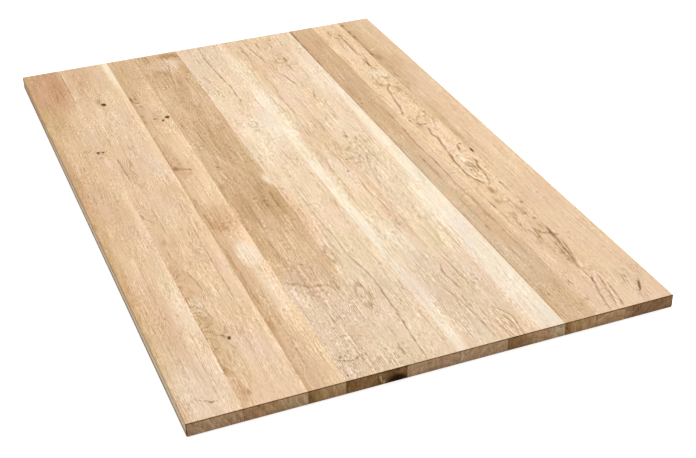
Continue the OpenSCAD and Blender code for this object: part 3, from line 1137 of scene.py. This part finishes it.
def ease(points, round_left, round_right):
    """Rounds the upright corners and the arrises of the panel's outside."""
    x, y, z = points.T.copy()
    side = np.zeros(len(points))
    if round_left:
        side = np.maximum(side, (cad_low.x + CORNER - x) / CORNER)
    if round_right:
        side = np.maximum(side, (x - cad_high.x + CORNER) / CORNER)
    side_sign = np.where(x < (cad_low.x + cad_high.x) / 2, -1, 1)
    end = np.clip((np.abs(y) - LENGTH / 2 + CORNER) / CORNER, 0, 1)
    end_sign = np.sign(y)

    # From a square corner to a round one, in plan
    out = np.maximum(side, end)
    reach = np.hypot(side, end)
    share = np.divide(out, reach, out=np.ones_like(out), where=reach > 0)
    x += side_sign * side * (share - 1) * CORNER
    y += end_sign * end * (share - 1) * CORNER
    away_x = np.divide(side * side_sign, reach, out=np.zeros_like(out), where=reach > 0)
    away_y = np.divide(end * end_sign, reach, out=np.zeros_like(out), where=reach > 0)

    # From a square arris to a round one, on both faces
    over = np.clip(ARRIS - (1 - out) * CORNER, 0, None)
    high = np.clip(z - THICKNESS + ARRIS, 0, None)
    low = np.clip(ARRIS - z, 0, None)
    rise = np.maximum(high, low)
    both = np.hypot(over, rise)
    share = np.divide(np.maximum(over, rise), both, out=np.ones_like(out), where=both > 0)
    x += away_x * over * (share - 1)
    y += away_y * over * (share - 1)
    z += np.where(high > low, 1, -1) * rise * (share - 1)
    return np.stack([x, y, z], 1)


def sink_knots(points, stave, left):
    """Lowers the top face into each knot's hollow."""
    top = points[:, 2] > THICKNESS - TOUCHING
    for knot in stave.knots:
        dx = points[:, 0] - (left + knot.across * MM)
        dy = points[:, 1] - (cad_low.y + knot.along * MM)
        turn = math.radians(knot.turn)
        u = (dx * math.cos(turn) + dy * math.sin(turn)) / (knot.wide * MM)
        v = (-dx * math.sin(turn) + dy * math.cos(turn)) / (knot.long * MM)
        share = np.clip(HOLLOW_REACH - np.hypot(u, v), 0, 1)
        points[:, 2] -= top * knot.depth * MM * share * share * (3 - 2 * share)
    return points


def stave_piece(node, stave):
    """The finished mesh of one stave, and its left face."""
    low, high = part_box(node)
    rounded = (low.x < cad_low.x + TOUCHING, high.x > cad_high.x - TOUCHING)
    fine_x = []
    fine_y = []
    for knot in stave.knots:
        reach = KNOT_REACH * max(knot.wide, knot.long) * MM
        fine_x.append((low.x + knot.across * MM, reach, KNOT_CUT))
        fine_y.append((cad_low.y + knot.along * MM, reach, KNOT_CUT))
    xs = grid_lines(low.x, high.x, CUT_ACROSS, rounded, fine_x)
    ys = grid_lines(low.y, high.y, CUT_ALONG, (True, True), fine_y)
    zs = grid_lines(low.z, high.z, CUT_UP, (True, True), [])
    points, faces = box_shell(xs, ys, zs)
    points = sink_knots(ease(points, *rounded), stave, low.x)
    mesh = bpy.data.meshes.new("oak_" + node)
    mesh.from_pydata(points.tolist(), [], faces.tolist())
    mesh.shade_smooth()
    mesh.set_sharp_from_angle(angle=SHARP_EDGE)
    mesh.validate()
    piece = bpy.data.objects.new("oak_" + node, mesh)
    bpy.context.scene.collection.objects.link(piece)
    return piece, low.x


def make_staves():
    for number, stave in enumerate(STAVES, 1):
        node = f"stave_{number}"
        piece, left = stave_piece(node, stave)
        piece.data.materials.append(oak("oak_" + node, stave, number, left))
        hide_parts(node)
        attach(piece, "root")


# The camera, as the photograph was taken
CAMERA_PLACE = (-0.7971, -2.2725, 1.3539)
CAMERA_HEADING = 21.706
CAMERA_DOWN = 31.518
CAMERA_ROLL = -1.006
CAMERA_LENS = 67.89


def make_camera():
    data = bpy.data.cameras.new("camera")
    data.sensor_width = 36
    data.lens = CAMERA_LENS
    camera = bpy.data.objects.new("camera", data)
    turn = Matrix.Rotation(math.radians(-CAMERA_HEADING), 4, "Z")
    tip = Matrix.Rotation(math.radians(90 - CAMERA_DOWN), 4, "X")
    roll = Matrix.Rotation(math.radians(CAMERA_ROLL), 4, "Z")
    camera.matrix_world = Matrix.Translation(CAMERA_PLACE) @ turn @ tip @ roll
    bpy.context.scene.collection.objects.link(camera)
    bpy.context.scene.camera = camera


# Soft light from above, behind and to the right, and from all round
WORLD_LIGHT = 0.45
KEY_STRENGTH = 2.26
KEY_SOFTNESS = 45
KEY_FROM = (0.45, 0.70, 1)
FLOOR_TONE = 0.75
FLOOR_GLOW = 0.75
FLOOR_WIDTH = 24
FLOOR_GAP = 0.2 * MM


def seen_share(n):
    """1 where the camera, a reflection or a glass sees the surface, and 0 where it lights others."""
    paths = n.add("ShaderNodeLightPath")
    seen = n.math("MAXIMUM", paths.outputs["Is Camera Ray"], paths.outputs["Is Glossy Ray"])
    return n.math("MAXIMUM", seen, paths.outputs["Is Transmission Ray"])


def make_lights():
    world = bpy.data.worlds.new("studio")
    world.use_nodes = True
    n = Nodes(world.node_tree)
    background = world.node_tree.nodes["Background"]
    strength = n.math("MULTIPLY_ADD", seen_share(n), 1 - WORLD_LIGHT, WORLD_LIGHT)
    n.feed(background.inputs["Strength"], strength)
    background.inputs["Color"].default_value = (1, 1, 1, 1)
    bpy.context.scene.world = world
    data = bpy.data.lights.new("key", "SUN")
    data.energy = KEY_STRENGTH
    data.angle = math.radians(KEY_SOFTNESS)
    key = bpy.data.objects.new("key", data)
    key.rotation_mode = "QUATERNION"
    key.rotation_quaternion = (-Vector(KEY_FROM)).to_track_quat("-Z", "Y")
    bpy.context.scene.collection.objects.link(key)


def make_floor():
    """A white ground that keeps the panel's shadow."""
    half = FLOOR_WIDTH / 2
    corners = [(-half, -half, 0), (half, -half, 0), (half, half, 0), (-half, half, 0)]
    mesh = bpy.data.meshes.new("ground")
    mesh.from_pydata(corners, [], [(0, 1, 2, 3)])
    ground = bpy.data.objects.new("ground", mesh)
    ground.location.z = -FLOOR_GAP
    bpy.context.scene.collection.objects.link(ground)
    material = bpy.data.materials.new("white_ground")
    material.use_nodes = True
    tree = material.node_tree
    tree.nodes.clear()
    n = Nodes(tree)
    diffuse = n.add("ShaderNodeBsdfDiffuse")
    diffuse.inputs["Color"].default_value = (FLOOR_TONE, FLOOR_TONE, FLOOR_TONE, 1)
    glow = n.add("ShaderNodeEmission")
    n.feed(glow.inputs["Strength"], n.times(seen_share(n), FLOOR_GLOW))
    total = n.add("ShaderNodeAddShader")
    tree.links.new(diffuse.outputs[0], total.inputs[0])
    tree.links.new(glow.outputs[0], total.inputs[1])
    output = n.add("ShaderNodeOutputMaterial")
    tree.links.new(total.outputs[0], output.inputs["Surface"])
    mesh.materials.append(material)


bpy.context.scene.view_settings.view_transform = "Standard"
make_camera()
make_lights()
make_floor()
make_staves()
